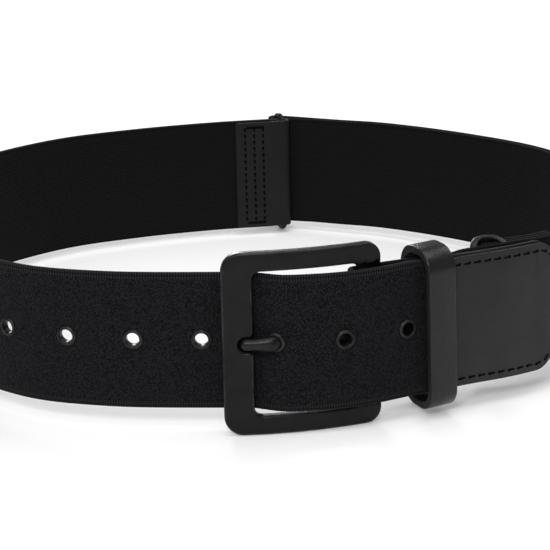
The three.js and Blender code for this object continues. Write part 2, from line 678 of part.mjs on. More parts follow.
// Prong: a round rod from the notch, down through its eyelet and back to an eye on the hinge bar
function makeProng() {
  const hole = eyeletSpots[COUNT_BEFORE_PRONG];
  const dive = frameSpot.run.clone().applyAxisAngle(UP, THREE.MathUtils.degToRad(PRONG_DIVE));
  const tip = onFrame(PRONG_REACH, PRONG_THICK / 2 - PRONG_PROUD);
  const left = HINGE_LEFT - PRONG_EYE_SLACK - PRONG_EYE_WALL / 2;
  const right = HINGE_RIGHT - SPARE / 2;
  const hinge = onFrame(left, HINGE_RECESS + HINGE_BAR_THICK / 2);
  const above = hole.point.clone().addScaledVector(dive, -PRONG_STRAIGHT);
  const below = hole.point.clone().addScaledVector(dive, PRONG_STRAIGHT);
  const corners = [tip, above, below, hinge];
  const path = new THREE.CurvePath();
  let from = tip;
  for (let index = 1; index < corners.length - 1; index += 1) {
    const corner = corners[index];
    const into = corner.clone().sub(corners[index - 1]).normalize();
    const away = corners[index + 1].clone().sub(corner).normalize();
    const setBack = PRONG_BEND * Math.tan(into.angleTo(away) / 2);
    const start = corner.clone().addScaledVector(into, -setBack);
    const end = corner.clone().addScaledVector(away, setBack);
    path.add(new THREE.LineCurve3(from, start));
    path.add(new THREE.QuadraticBezierCurve3(start, corner, end));
    from = end;
  }
  path.add(new THREE.LineCurve3(from, hinge));
  const section = new THREE.Shape().absarc(0, 0, PRONG_THICK / 2, 0, 2 * Math.PI);
  const rod = new THREE.ExtrudeGeometry(section, {
    extrudePath: path, steps: ROD_STEPS, curveSegments: ROD_SIDES / 2,
  });
  const eyeOut = HINGE_BAR_THICK / 2 + LAYER_GAP + PRONG_EYE_WALL / 2;
  const frontAngle = angleOf(frameSpot.outward);
  const mid = FRAME_THICK - HINGE_BAR_THICK / 2;
  const eye = [
    ...frameArc(right, left + eyeOut, mid - eyeOut, EYE_STEPS),
    ...turnRound(onFrame(left + eyeOut, mid), eyeOut, frontAngle, -Math.PI, ROD_SIDES / 2).slice(1, -1),
    ...frameArc(left + eyeOut, right, mid + eyeOut, EYE_STEPS),
  ];
  return solid(rod).add(solid(web(eye, PRONG_EYE_WALL, PRONG_EYE_HEIGHT)));
}
add('prong', makeProng(), 'black_metal');

// The belt stands on the buckle's lower edge and the ring's lower end
const footHalf = FRAME_WIDTH / 2 - FRAME_LEFT_CORNER;
const leftFoot = onFrame(-footHalf, FRAME_THICK).setZ(-FRAME_HEIGHT / 2);
const rightFoot = onFrame(footHalf, FRAME_THICK).setZ(-FRAME_HEIGHT / 2);
const rearFoot = tabBar.clone().lerp(strapBar, 0.5).setZ(-RING_HEIGHT / 2 - RING_DROP);
const across = rightFoot.clone().sub(leftFoot);
const floorNormal = across.cross(rearFoot.clone().sub(leftFoot)).normalize();
belt.quaternion.setFromUnitVectors(floorNormal, UP);

const assembly = new THREE.Group();
assembly.add(belt);
assembly.updateMatrixWorld(true);
const box = new THREE.Box3().setFromObject(assembly, true);
const centre = box.getCenter(new THREE.Vector3());
belt.position.set(-centre.x, -centre.y, -box.min.z);

export default assembly;
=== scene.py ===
"""The looks of an elastic stretch belt: knit, leather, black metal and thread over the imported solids.

Shapes are drawn flat in millimetres, with x along the belt, y up and z away from the wearer,
then laid along the same plan lines that the solids follow, turned as the belt stands, and scaled to metres.
"""

import math

import bmesh
import bpy
from mathutils import Matrix, Quaternion, Vector


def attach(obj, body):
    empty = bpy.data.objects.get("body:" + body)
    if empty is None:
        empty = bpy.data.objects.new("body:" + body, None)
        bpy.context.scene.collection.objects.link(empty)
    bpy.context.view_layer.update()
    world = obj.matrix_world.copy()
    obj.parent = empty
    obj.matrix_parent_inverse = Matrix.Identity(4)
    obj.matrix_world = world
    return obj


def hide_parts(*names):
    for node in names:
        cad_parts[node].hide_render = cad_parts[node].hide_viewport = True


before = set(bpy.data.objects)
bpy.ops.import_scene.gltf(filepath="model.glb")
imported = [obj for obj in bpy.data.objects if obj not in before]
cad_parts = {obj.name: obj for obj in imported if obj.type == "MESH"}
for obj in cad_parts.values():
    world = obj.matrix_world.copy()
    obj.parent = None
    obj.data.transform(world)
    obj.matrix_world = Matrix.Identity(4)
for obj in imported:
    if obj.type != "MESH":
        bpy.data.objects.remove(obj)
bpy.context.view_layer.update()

UP = Vector((0, 0, 1))
ALONG = Vector((1, 0, 0))
HIGH = Vector((0, 1, 0))
TURN = 2 * math.pi
JOIN = 0.0005
NEAR = 0.001
STAND = Matrix.LocRotScale(
    Vector((0.001812403, 0.000783787, 0.030593056)),
    Quaternion((0.999915736, -0.012725139, -0.002567484, 0)),
    Vector((0.001, 0.001, 0.001)),
)

# The loop line, as the solids have it
LOOP_HALF = (137.8, 111.3)
LOOP_LINE = (
    (-0.004, -1.000), (0.141, -0.969), (0.286, -0.907), (0.446, -0.811), (0.615, -0.718), (0.790, -0.559),
    (0.922, -0.313), (0.955, -0.008), (0.813, 0.411), (0.597, 0.670), (0.351, 0.868), (0.220, 0.929),
    (0.090, 0.982), (0.034, 0.961), (-0.050, 0.946), (-0.176, 0.922), (-0.434, 0.836), (-0.685, 0.695),
    (-0.929, 0.379), (-1.000, 0.073), (-0.873, -0.570), (-0.654, -0.864), (-0.445, -0.960),
    (-0.192, -0.996),
)

# Sizes shared with the solids, in millimetres, and turns in degrees
BAND_WIDTH = 50
BAND_THICK = 2
STRAP_WIDTH = 48
STRAP_THICK = 1.9
GAP = 0.25
EYELET_PITCH = 24
EYELET_STRETCH = 2.6
EYELET_SEAT = 1.1
EYELET_RISE = 0.7
HOLE_RADIUS = 3.05
FRAME_WIDTH = 57.2
FRAME_HEIGHT = 66.8
FRAME_THICK = 3.6
FRAME_BOW = 135
FRAME_BACK = 2.35
FRAME_ALONG = 9.05
FRAME_TURN = 2
SIDE_BAR = 10.85
EDGE_BAR = 7
HINGE_BAR = 8.2
HINGE_BAR_THICK = 2.8
NOTCH_HALF = 2.75
PRONG_THICK = 3.9
KEEPER_WIDTH = 10.8
KEEPER_DEPTH = 20
KEEPER_HEIGHT = 60
KEEPER_WALL = 2.7
KEEPER_CORNER = 8
KEEPER_ALONG = 55.9
KEEPER_OUT = 3.7
KEEPER_RISE = -1.1
KEEPER_LEAN = -1.3
TIP_PLY = 1
TIP_WIDTH = 48.4
TIP_START = 57.5
TIP_SHOULDER = 100
TIP_TAPER = 22
TIP_NOSE = 7
TIP_CORNER = 8
SLIDER_LENGTH = 16
SLIDER_ALONG = 82.2
SLIDER_BAR = 2.2
SLIDER_OUTER_BAR = 1.7
SLIDER_RAIL = 1.8
RING_WIRE = 2.2
RING_PITCH = 8.3
RING_TURN = 7
RING_DROP = 0.6
RING_ALONG = 367.8
TAB_LEATHER = 1.4
TAB_LENGTH = 22
TAB_WIDTH = 48.6
COUNT_BEFORE_PRONG = 4
COUNT_AFTER_PRONG = 2
WINDOW_SETBACK = 0.5

# Sizes that the scene has for itself
EYELET_BORE = 2.35
EYELET_RIM = 3.5
EYELET_STEPS = 36
KNIT_ROUNDING = 0.75
PLY_ROUNDING = 0.3
PRONG_DIVE = 66
PRONG_END = 1.85
STITCH_PITCH = 4.0
STITCH_LIFT = 0.08
NEEDLE_AHEAD = 0.1
NEEDLE_SIZE = (0.6, 0.6, 0.2)


class LoopLine:
    """The closed centripetal line through the loop's points, measured along its length."""

    FINE = 2000

    def __init__(self):
        self.points = [
            Vector((across * LOOP_HALF[0], deep * LOOP_HALF[1], 0)) for across, deep in LOOP_LINE
        ]
        self.samples = [self.point_at(step / self.FINE)[0] for step in range(self.FINE + 1)]
        self.lengths = [0]
        for start, end in zip(self.samples, self.samples[1:]):
            self.lengths.append(self.lengths[-1] + (end - start).length)
        self.length = self.lengths[-1]

    def point_at(self, share):
        """The point and direction at a share of the line's own parameter."""
        count = len(self.points)
        number = int(share * count) % count
        weight = share * count - int(share * count)
        before, start, end, after = (self.points[(number + step) % count] for step in (-1, 0, 1, 2))
        legs = (start - before, end - start, after - end)
        first, middle, last = (math.sqrt(leg.length) for leg in legs)
        leave = (legs[0] / first - (end - before) / (first + middle) + legs[1] / middle) * middle
        arrive = (legs[1] / middle - (after - start) / (middle + last) + legs[2] / last) * middle
        bend = -3 * start + 3 * end - 2 * leave - arrive
        twist = 2 * start - 2 * end + leave + arrive
        point = start + leave * weight + bend * weight**2 + twist * weight**3
        return point, leave + bend * 2 * weight + twist * 3 * weight**2

    def place(self, along, out=0):
        """A place on the loop: its point, the way the belt runs and the way out."""
        target = along % self.length
        low, high = 0, self.FINE
        while high - low > 1:
            middle = (low + high) // 2
            if self.lengths[middle] <= target:
                low = middle
            else:
                high = middle
        part = (target - self.lengths[low]) / (self.lengths[low + 1] - self.lengths[low])
        point, run = self.point_at((low + part) / self.FINE)
        run.normalize()
        outward = run.cross(UP)
        return point + outward * out, run, outward


loop = LoopLine()


def follow(rows, step=1.2):
    """Plan points from rows of (along, out, straight), with even eases between the rows."""
    points = [loop.place(rows[0][0], rows[0][1])[0]]
    for start, end in zip(rows, rows[1:]):
        count = max(1, round(abs(end[0] - start[0]) / step))
        for piece in range(1, count + 1):
            share = piece / count
            ease = share if len(end) > 2 else share * share * (3 - 2 * share)
            along = start[0] + (end[0] - start[0]) * share
            points.append(loop.place(along, start[1] + (end[1] - start[1]) * ease)[0])
    return points


def turn_round(centre, radius, start, sweep, steps=14):
    """Points on a turn round a bar."""
    angles = [start + sweep * step / steps for step in range(steps + 1)]
    return [centre + Vector((math.cos(angle), math.sin(angle), 0)) * radius for angle in angles]


def angle_of(vector):
    return math.atan2(vector.y, vector.x)


def relaxed(points, times):
    """The same points with their corners eased."""
    for _ in range(times):
        points = [points[0]] + [
            before * 0.25 + here * 0.5 + after * 0.25
            for before, here, after in zip(points, points[1:], points[2:])
        ] + [points[-1]]
    return points


class Route:
    """A line of plan points, with a place and a direction at each distance along it."""

    def __init__(self, points):
        self.points = [points[0]]
        for point in points[1:]:
            if (point - self.points[-1]).length > 0.02:
                self.points.append(point)
        self.lengths = [0]
        for start, end in zip(self.points, self.points[1:]):
            self.lengths.append(self.lengths[-1] + (end - start).length)
        self.runs = []
        for index in range(len(self.points)):
            before = self.points[max(index - 1, 0)]
            after = self.points[min(index + 1, len(self.points) - 1)]
            self.runs.append((after - before).normalized())
        self.length = self.lengths[-1]

    def at(self, distance):
        """The point and direction at a distance, carried on straight past either end."""
        last = len(self.points) - 2
        low, high = 0, last + 1
        while high - low > 1:
            middle = (low + high) // 2
            if self.lengths[middle] <= distance:
                low = middle
            else:
                high = middle
        low = min(low, last)
        span = self.lengths[low + 1] - self.lengths[low]
        share = (distance - self.lengths[low]) / span
        if 0 <= share <= 1:
            run = self.runs[low].lerp(self.runs[low + 1], share).normalized()
        else:
            run = self.runs[low if share < 0 else low + 1]
        return self.points[low].lerp(self.points[low + 1], share), run

    def nearest(self, target):
        """The distance along the line to its point nearest a target."""
        index = min(range(len(self.points)), key=lambda number: (self.points[number] - target).length)
        return self.lengths[index]

    def cuts(self, coarse=2.4, turn=0.09):
        """Distances to cut a flat sheet at, closer where the line turns."""
        marks = []
        last, last_run = 0, self.runs[0]
        for distance, run in zip(self.lengths, self.runs):
            if distance - last > coarse or (run - last_run).length > turn:
                marks.append(distance)
                last, last_run = distance, run
        return marks

    def bend(self, mesh):
        """Lays a flat shape along the line: x along it, y up and z to its right."""
        for vert in mesh.verts:
            point, run = self.at(vert.co.x)
            vert.co = point + run.cross(UP) * vert.co.z + UP * vert.co.y


# Distances of the layers from the loop line
RETURN_OUT = STRAP_THICK / 2
LONG_OUT = RETURN_OUT + STRAP_THICK + GAP
FREE_START_OUT = LONG_OUT + STRAP_THICK / 2 + GAP + BAND_THICK / 2
TIP_INNER_OUT = 5.55
FREE_OUT = TIP_INNER_OUT + TIP_PLY / 2 + GAP + BAND_THICK / 2
TIP_OUTER_OUT = FREE_OUT + BAND_THICK / 2 + GAP + TIP_PLY / 2
HOLE_OUT = 5.25
CLIMB_HALF = 4.2
CLIMB_RISE = 2.16

# The buckle's own places
frame_point, frame_run, frame_outward = loop.place(FRAME_ALONG)
frame_turn = Matrix.Rotation(math.radians(FRAME_TURN), 3, "Z")
frame_run = frame_turn @ frame_run
frame_outward = frame_turn @ frame_outward
HALF_FRAME = FRAME_WIDTH / 2
HINGE_LEFT = HALF_FRAME - HINGE_BAR
WINDOW_LEFT = SIDE_BAR - HALF_FRAME
WINDOW_HALF = FRAME_HEIGHT / 2 - EDGE_BAR
HINGE_RECESS = FRAME_THICK - HINGE_BAR_THICK
FOLD_FRONT = HINGE_RECESS - GAP - STRAP_THICK / 2
FOLD_BACK = FRAME_THICK + GAP + STRAP_THICK / 2
FREE_FRONT = FOLD_FRONT - STRAP_THICK / 2 - GAP - BAND_THICK / 2


def on_frame(across, behind, height=0):
    """A point of the buckle by its distance from the buckle's middle and from its front face."""
    radius = FRAME_BOW - behind
    angle = across / FRAME_BOW
    forward = FRAME_BACK + FRAME_THICK - FRAME_BOW + radius * math.cos(angle)
    return frame_point + frame_run * radius * math.sin(angle) + frame_outward * forward + UP * height


def frame_arc(start, end, behind, steps):
    return [on_frame(start + (end - start) * step / steps, behind) for step in range(steps + 1)]


# The rear ring's two bars
ring_point, _, ring_outward = loop.place(RING_ALONG)
ring_across = Matrix.Rotation(math.radians(RING_TURN), 3, "Z") @ ring_outward
TAB_INNER = -GAP - TAB_LEATHER / 2
TAB_OUTER = BAND_THICK + GAP + TAB_LEATHER / 2
TAB_BEND = RING_WIRE / 2 + GAP + TAB_LEATHER / 2
STRAP_BEND = RING_WIRE / 2 + GAP + STRAP_THICK / 2
tab_bar = ring_point + ring_outward * (TAB_INNER + TAB_BEND)
strap_bar = tab_bar + ring_across * RING_PITCH


def new_piece(name, mesh, finishes, slot, *nodes):
    """Turns a drawn shape into a finished piece that rides on the belt and stands for its solids."""
    mesh.transform(STAND)
    data = bpy.data.meshes.new(name)
    mesh.to_mesh(data)
    mesh.free()
    data.shade_smooth()
    for finish in finishes:
        data.materials.append(finish)
    piece = bpy.data.objects.new(name, data)
    bpy.context.scene.collection.objects.link(piece)
    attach(piece, "root")
    if nodes:
        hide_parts(*nodes)
    return piece


def whole(mesh):
    return mesh.verts[:] + mesh.edges[:] + mesh.faces[:]


def outline(mesh, points):
    """A closed outline as a face, from its corner points."""
    return mesh.faces.new([mesh.verts.new((x, y, 0)) for x, y in points])


def rounded_outline(mesh, points, radii, segments=5):
    """A closed outline whose corners are rounded, each by its own radius."""
    corners = list(outline(mesh, points).verts)
    for radius in sorted(set(radii)):
        chosen = [corner for corner, own in zip(corners, radii) if own == radius and radius > 0]
        if chosen:
            bmesh.ops.bevel(
                mesh, geom=chosen, offset=radius, offset_type="OFFSET",
                segments=segments, profile=0.5, affect="VERTICES", material=-1,
            )


def box_points(left, right, bottom, top):
    return [(left, bottom), (right, bottom), (right, top), (left, top)]


def filled(mesh):
    """Fills the area between the outlines drawn so far, and leaves the inner ones open."""
    bmesh.ops.delete(mesh, geom=list(mesh.faces), context="FACES_ONLY")
    bmesh.ops.triangle_fill(mesh, use_beauty=True, use_dissolve=False, edges=list(mesh.edges), normal=UP)
    for face in mesh.faces:
        if face.normal.z < 0:
            face.normal_flip()


def thickened(mesh, thick, rounding, segments=3):
    """Gives a flat shape a thickness and evenly rounded edges, and marks those edges for scuffing and, on
    the coated metal, a painted highlight.
    """
    worn = mesh.verts.layers.float.new("edge")
    sheet = list(mesh.faces)
    raised = bmesh.ops.extrude_face_region(mesh, geom=sheet)["geom"]
    top = [item for item in raised if isinstance(item, bmesh.types.BMFace)]
    lifted = [item for item in raised if isinstance(item, bmesh.types.BMVert)]
    bmesh.ops.delete(mesh, geom=sheet, context="FACES_ONLY")
    bmesh.ops.translate(mesh, verts=lifted, vec=(0, 0, thick / 2 - rounding))
    mesh.normal_update()
    for step in range(segments):
        start, end = (math.pi / 2 * number / segments for number in (step, step + 1))
        inward = rounding * (math.cos(start) - math.cos(end))
        rise = rounding * (math.sin(end) - math.sin(start))
        bmesh.ops.inset_region(
            mesh, faces=top, thickness=inward, depth=0, use_boundary=True, use_even_offset=True,
        )
        crown = {vert for face in top for vert in face.verts}
        bmesh.ops.translate(mesh, verts=list(crown), vec=(0, 0, rise))
    loose = [edge for edge in mesh.edges if not edge.link_faces]
    bmesh.ops.delete(mesh, geom=loose, context="EDGES")
    for vert in mesh.verts:
        vert[worn] = 0 if vert.co.z > thick / 2 - NEAR else 1
    bmesh.ops.mirror(mesh, geom=whole(mesh), merge_dist=JOIN, axis="Z")
    bmesh.ops.recalc_face_normals(mesh, faces=list(mesh.faces))


def cut_across(mesh, marks, way=ALONG):
    """Cuts a flat shape at distances along one way, so that it can bend there."""
    for mark in marks:
        bmesh.ops.bisect_plane(mesh, geom=whole(mesh), dist=JOIN, plane_co=way * mark, plane_no=way)


def flat_map(mesh):
    """Keeps where each point lay in the flat, in millimetres, for the weave to follow."""
    layer = mesh.loops.layers.uv.new("flat")
    for face in mesh.faces:
        for corner in face.loops:
            corner[layer].uv = corner.vert.co.xy


def sides(mesh, front, back, edge):
    """Gives the front, back and edges of a flat shape their own finishes by number."""
    facing = 0.75
    for face in mesh.faces:
        if face.normal.z > facing:
            face.material_index = front
        elif face.normal.z < -facing:
            face.material_index = back
        else:
            face.material_index = edge


def swept(stations, section, closed=False):
    """A skin through a section of (up, out, edge mark) points carried from station to station.

    A station is a point, the way out and the way up there, and the section's scale up and out.
    """
    mesh = bmesh.new()
    worn = mesh.verts.layers.float.new("edge")
    layer = mesh.loops.layers.uv.new("flat")
    count = len(stations) + (1 if closed else 0)
    bmesh.ops.create_grid(mesh, x_segments=len(section), y_segments=count - 1, size=0.5)
    lengths = [0]
    for number in range(1, count):
        step = stations[number % len(stations)][0] - stations[number - 1][0]
        lengths.append(lengths[-1] + step.length)
    spots = {}
    for vert in mesh.verts:
        column = round((vert.co.x + 0.5) * len(section))
        row = round((vert.co.y + 0.5) * (count - 1))
        spots[vert.index] = (row, column)
    for face in mesh.faces:
        for corner in face.loops:
            row, column = spots[corner.vert.index]
            corner[layer].uv = (lengths[row], section[column % len(section)][0])
    for vert in mesh.verts:
        row, column = spots[vert.index]
        point, outward, upward, tall, deep = stations[row % len(stations)]
        rise, out, wear_and_glint = section[column % len(section)]
        vert.co = point + outward * out * deep + upward * rise * tall
        vert[worn] = wear_and_glint
    bmesh.ops.remove_doubles(mesh, verts=list(mesh.verts), dist=NEAR)
    if not closed:
        bmesh.ops.holes_fill(mesh, edges=[edge for edge in mesh.edges if edge.is_boundary], sides=0)
    bmesh.ops.recalc_face_normals(mesh, faces=list(mesh.faces))
    return mesh


def round_section(steps, worn):
    """A round section as (up, out, edge mark) points, of radius one."""
    angles = [TURN * step / steps for step in range(steps)]
    return [(math.sin(angle), math.cos(angle), worn) for angle in angles]


def rounded_section(half_up, half_out, radius, steps=3):
    """A rounded box section as (up, out, edge mark) points, marked where it is rounded; the mark lightens
    for scuffing and, on coated metal, a painted highlight.
    """
    points = []
    for number in range(4):
        middle_up = (half_up - radius) * (1 if number in (0, 1) else -1)
        middle_out = (half_out - radius) * (1 if number in (0, 3) else -1)
        for step in range(steps + 1):
            angle = math.pi / 2 * (number + step / steps)
            points.append((middle_up + radius * math.sin(angle), middle_out + radius * math.cos(angle), 1))
    return points


class Value:
    """A value in a finish's nodes that takes part in sums."""

    def __init__(self, finish, socket):
        self.finish = finish
        self.socket = socket

    def __add__(self, other):
        return self.finish.math("ADD", self, other)

    __radd__ = __add__

    def __sub__(self, other):
        return self.finish.math("SUBTRACT", self, other)

    def __rsub__(self, other):
        return self.finish.math("SUBTRACT", other, self)

    def __mul__(self, other):
        return self.finish.math("MULTIPLY", self, other)

    __rmul__ = __mul__


class Finish:
    """A procedural material for one kind of surface on the belt."""

    def __init__(self, name, **constants):
        self.material = bpy.data.materials.new(name)
        self.material.use_nodes = True
        self.tree = self.material.node_tree
        self.shader = self.tree.nodes["Principled BSDF"]
        for socket, value in constants.items():
            self.shader.inputs[socket.replace("_", " ")].default_value = value

    def node(self, kind, settings=None, sockets=None, output=0):
        made = self.tree.nodes.new(kind)
        for key, value in (settings or {}).items():
            if key == "stops":
                for number, (position, level) in enumerate(value):
                    stops = made.color_ramp.elements
                    stop = stops[number] if number < len(stops) else stops.new(position)
                    stop.position = position
                    stop.color = (level, level, level, 1)
            else:
                setattr(made, key, value)
        for key, value in (sockets or {}).items():
            if isinstance(value, Value):
                self.tree.links.new(value.socket, made.inputs[key])
            else:
                made.inputs[key].default_value = value
        return Value(self, made.outputs[output])

    def math(self, operation, *values):
        return self.node("ShaderNodeMath", {"operation": operation}, dict(enumerate(values)))

    def sine(self, value):
        return self.math("SINE", value) * 0.5 + 0.5

    def clamp(self, value, low, high):
        """Zero below low, one above high, and smooth between them."""
        return self.node(
            "ShaderNodeMapRange", {"interpolation_type": "SMOOTHSTEP"},
            {"Value": value, "From Min": low, "From Max": high},
        )

    def blend(self, share, first, second):
        return self.node(
            "ShaderNodeMix", {"data_type": "RGBA"}, {0: share, 6: first, 7: second}, output=2,
        )

    def flat(self):
        """Where a point lay in the flat, in millimetres: its place as a vector, along, and up."""
        spot = self.node("ShaderNodeUVMap", {"uv_map": "flat"})
        along = self.node("ShaderNodeSeparateXYZ", sockets={0: spot}, output=0)
        up = self.node("ShaderNodeSeparateXYZ", sockets={0: spot}, output=1)
        return spot, along, up

    def solid(self):
        """A point's place on the belt in millimetres."""
        spot = self.node("ShaderNodeTexCoord", output=3)
        millimetres = 1000
        return self.scaled(spot, (millimetres,) * 3)

    def scaled(self, vector, scale):
        return self.node("ShaderNodeVectorMath", {"operation": "MULTIPLY"}, {0: vector, 1: scale})

    def noise(self, vector, scale, detail=3, roughness=0.55):
        return self.node(
            "ShaderNodeTexNoise", {"noise_dimensions": "3D"},
            {"Vector": vector, "Scale": scale, "Detail": detail, "Roughness": roughness},
        )

    def cells(self, vector, scale, randomness=1):
        return self.node(
            "ShaderNodeTexVoronoi", {"feature": "F1"},
            {"Vector": vector, "Scale": scale, "Randomness": randomness},
        )

    def edge(self):
        return self.node("ShaderNodeAttribute", {"attribute_name": "edge"}, output=2)

    def finished(self, colour, roughness, height, depth, strength=1):
        """Feeds the shader: depth is the relief's height in millimetres."""
        bump = self.node(
            "ShaderNodeBump", sockets={"Height": height, "Distance": depth / 1000, "Strength": strength},
        )
        self.tree.links.new(colour.socket, self.shader.inputs["Base Color"])
        self.tree.links.new(roughness.socket, self.shader.inputs["Roughness"])
        self.tree.links.new(bump.socket, self.shader.inputs["Normal"])
        return self.material


def grey(level, blue=1.0):
    return (level, level, level * blue, 1)


def knitted(name, half_width, pebbled):
    """Elastic webbing: small loops or fine lengthwise ribs, with a ribbed selvedge along both edges."""
    cloth = Finish(name, Sheen_Weight=0.03, Sheen_Roughness=0.5, Specular_IOR_Level=0.06)
    spot, along, up = cloth.flat()
    from_edge = half_width - cloth.math("ABSOLUTE", up)
    selvedge = 1 - cloth.clamp(from_edge, 2.0, 2.6)
    fibre = cloth.noise(cloth.scaled(spot, (1, 1.6, 1)), 2.6, detail=4, roughness=0.7)
    wander = cloth.noise(spot, 0.35, detail=2)
    if pebbled:
        loop_wide, loop_high = 0.74, 0.66
        slanted = cloth.node(
            "ShaderNodeVectorRotate", {"rotation_type": "Z_AXIS"}, {"Vector": spot, "Angle": TURN / 8},
        )
        grid = cloth.scaled(slanted, (1 / loop_wide, 1 / loop_high, 1))
        loop_height = 1 - cloth.cells(grid, 1, randomness=0.42) * 1.5
        body = loop_height * 0.95 + fibre * 0.12
    else:
        rib_pitch, pick_pitch = 1.0, 0.85
        rib = cloth.sine(up * (TURN / rib_pitch))
        pick = cloth.sine(along * (TURN / pick_pitch) + wander * 3)
        body = rib * 0.5 + pick * 0.2 + fibre * 0.35
    selvedge_pitch = 0.95
    ribs = cloth.sine(along * (TURN / selvedge_pitch) + fibre * 2.6) * 0.62 + fibre * 0.4
    groove = cloth.clamp(from_edge, 0.7, 0.95) * (1 - cloth.clamp(from_edge, 1.05, 1.35))
    height = body * (1 - selvedge) + ribs * selvedge - groove * 0.45
    dark = grey(0.0022, 1.15)
    light = grey(0.0235 if pebbled else 0.0092, 1.14)
    tone = cloth.clamp(height, 0.1, 0.95) * (0.95 + wander * 0.1)
    colour = cloth.blend(tone, dark, light)
    roughness = 0.95 - cloth.clamp(height, 0.4, 1.1) * 0.22
    return cloth.finished(colour, roughness, height, 0.14 if pebbled else 0.16, strength=0.85)


def leather(name, dark, light, grain=1.0, rough=0.5, shine=0.25):
    """Satin leather with fine grain and faint clouds, a little lighter and smoother where edges rub."""
    hide = Finish(name, Specular_IOR_Level=shine)
    place = hide.solid()
    pores = hide.cells(place, 1.5 * grain)
    fine = hide.noise(place, 1.9 * grain, detail=5, roughness=0.7)
    cloud = hide.noise(place, 0.12, detail=2)
    height = pores * 0.55 + fine * 0.6
    colour = hide.blend(hide.clamp(fine * 0.75 + cloud * 0.45, 0.4, 0.8), grey(dark), grey(light))
    edge = hide.edge()
    colour = hide.blend(edge * hide.clamp(fine, 0.45, 0.7) * 0.3, colour, grey(light * 1.3))
    roughness = rough + fine * 0.16 - edge * 0.08
    return hide.finished(colour, roughness, height, 0.1, strength=0.75)


def cut_edge(name, core, paint):
    """A leather's cut edge: fibres in a core colour, with worn paint over them."""
    rim = Finish(name, Specular_IOR_Level=0.3)
    place = rim.solid()
    fibres = rim.noise(rim.scaled(place, (1, 1, 3.2)), 2.2, detail=5, roughness=0.7)
    patch = rim.noise(place, 0.45, detail=3)
    colour = rim.blend(rim.clamp(patch * 0.6 + fibres * 0.5, 0.42, 0.72), paint, core)
    return rim.finished(colour, 0.62 + fibres * 0.25, fibres, 0.12, strength=0.7)


def coated_metal(name, level, rough, grain=1.0, metallic=0.35, wear_and_glint=3.4):
    """A dark coating over die-cast metal, fine in grain, and lighter along its edges: partly scuffing,
    partly a painted highlight on the bevels.
    """
    coat = Finish(name, Metallic=metallic, Specular_IOR_Level=0.22)
    place = coat.solid()
    speckle = coat.noise(place, 3.2 * grain, detail=4, roughness=0.7)
    cloud = coat.noise(place, 0.16, detail=3)
    # Edge lightening: partly scuffing, partly a painted highlight standing in for glints on the rounded
    # edges.
    rubbed_and_glint = coat.edge() * coat.clamp(speckle * 0.5 + cloud * 0.6, 0.42, 0.68)
    patch = coat.clamp(cloud * 0.5 + speckle * 0.5, 0.35, 0.65)
    base = coat.blend(patch, grey(level * 0.75), grey(level * 1.3))
    colour = coat.blend(rubbed_and_glint * 0.55, base, grey(level * wear_and_glint))
    roughness = rough + speckle * 0.18 - rubbed_and_glint * 0.14
    return coat.finished(colour, roughness, speckle, 0.06, strength=0.6)


def thread(name, level):
    """Waxed sewing thread, twisted along its length."""
    cord = Finish(name, Specular_IOR_Level=0.05)
    place = cord.solid()
    twist = cord.sine(cord.node("ShaderNodeVectorMath", {"operation": "DOT_PRODUCT"}, {
        0: place, 1: (7.5, 3.0, 9.5),
    }, output=1))
    fibre = cord.noise(place, 4, detail=3)
    height = twist * 0.7 + fibre * 0.5
    colour = cord.blend(cord.clamp(height, 0.2, 1), grey(level * 0.5), grey(level * 1.5))
    return cord.finished(colour, 0.7 + fibre * 0.25, height, 0.06, strength=0.6)


BAND_OUTSIDE = knitted("band_knit_outside", BAND_WIDTH / 2, True)
BAND_INSIDE = knitted("band_knit_inside", BAND_WIDTH / 2, False)
STRAP_KNIT = knitted("strap_knit", STRAP_WIDTH / 2, False)
TIP_LEATHER = leather("tip_leather", 0.012, 0.0195, rough=0.42)
KEEPER_LEATHER = leather("keeper_leather", 0.0078, 0.0125, rough=0.28, shine=0.27)
TAB_HIDE = leather("tab_leather", 0.009, 0.013, grain=1.2, rough=0.5, shine=0.12)
DARK_EDGE = cut_edge("dark_leather_edge", grey(0.009), grey(0.004))
RAW_EDGE = cut_edge("raw_leather_edge", (0.034, 0.027, 0.021, 1), (0.009, 0.008, 0.0075, 1))
# The buckle and prong get stronger edge lightening: painted highlight on their bevels as well as scuffing.
BUCKLE_METAL = coated_metal("buckle_coating", 0.0074, 0.27, wear_and_glint=6.0)
PRONG_METAL = coated_metal("prong_coating", 0.0095, 0.24, wear_and_glint=5.0)
WIRE_METAL = coated_metal("ring_coating", 0.0085, 0.34)
EYELET_METAL = coated_metal("eyelet_gunmetal", 0.022, 0.28, metallic=0.8, wear_and_glint=3.0)
STITCH_THREAD = thread("black_thread", 0.0026)
# Near-black blobs at the needle holes: painted shade where the holes recede.
NEEDLE_HOLE_SHADE = thread("needle_hole_shade", 0.0006)


def stitches(mesh, spots, level, length=2.3, width=0.8, height=0.5):
    """Adds a rounded stitch for each (x, y, angle) in the flat, at one level, and ahead of it a near-black
    blob of painted shade for its needle hole.
    """
    size = Vector((length, width, height)) / 2
    for x, y, angle in spots:
        turn = Matrix.LocRotScale(Vector((x, y, level)), Matrix.Rotation(angle, 3, "Z"), size)
        bmesh.ops.create_uvsphere(mesh, u_segments=8, v_segments=5, radius=1, matrix=turn)
        ahead = Vector((math.cos(angle), math.sin(angle))) * (length / 2 + NEEDLE_AHEAD)
        # The needle hole is a flattened near-black blob on the surface: painted shade, not a real hole.
        hole = Matrix.LocRotScale(Vector((x + ahead.x, y + ahead.y, level)), None, Vector(NEEDLE_SIZE))
        hole_shade_blob = bmesh.ops.create_uvsphere(mesh, u_segments=8, v_segments=4, radius=1, matrix=hole)
        for face in {face for vert in hole_shade_blob["verts"] for face in vert.link_faces}:
            face.material_index = 1


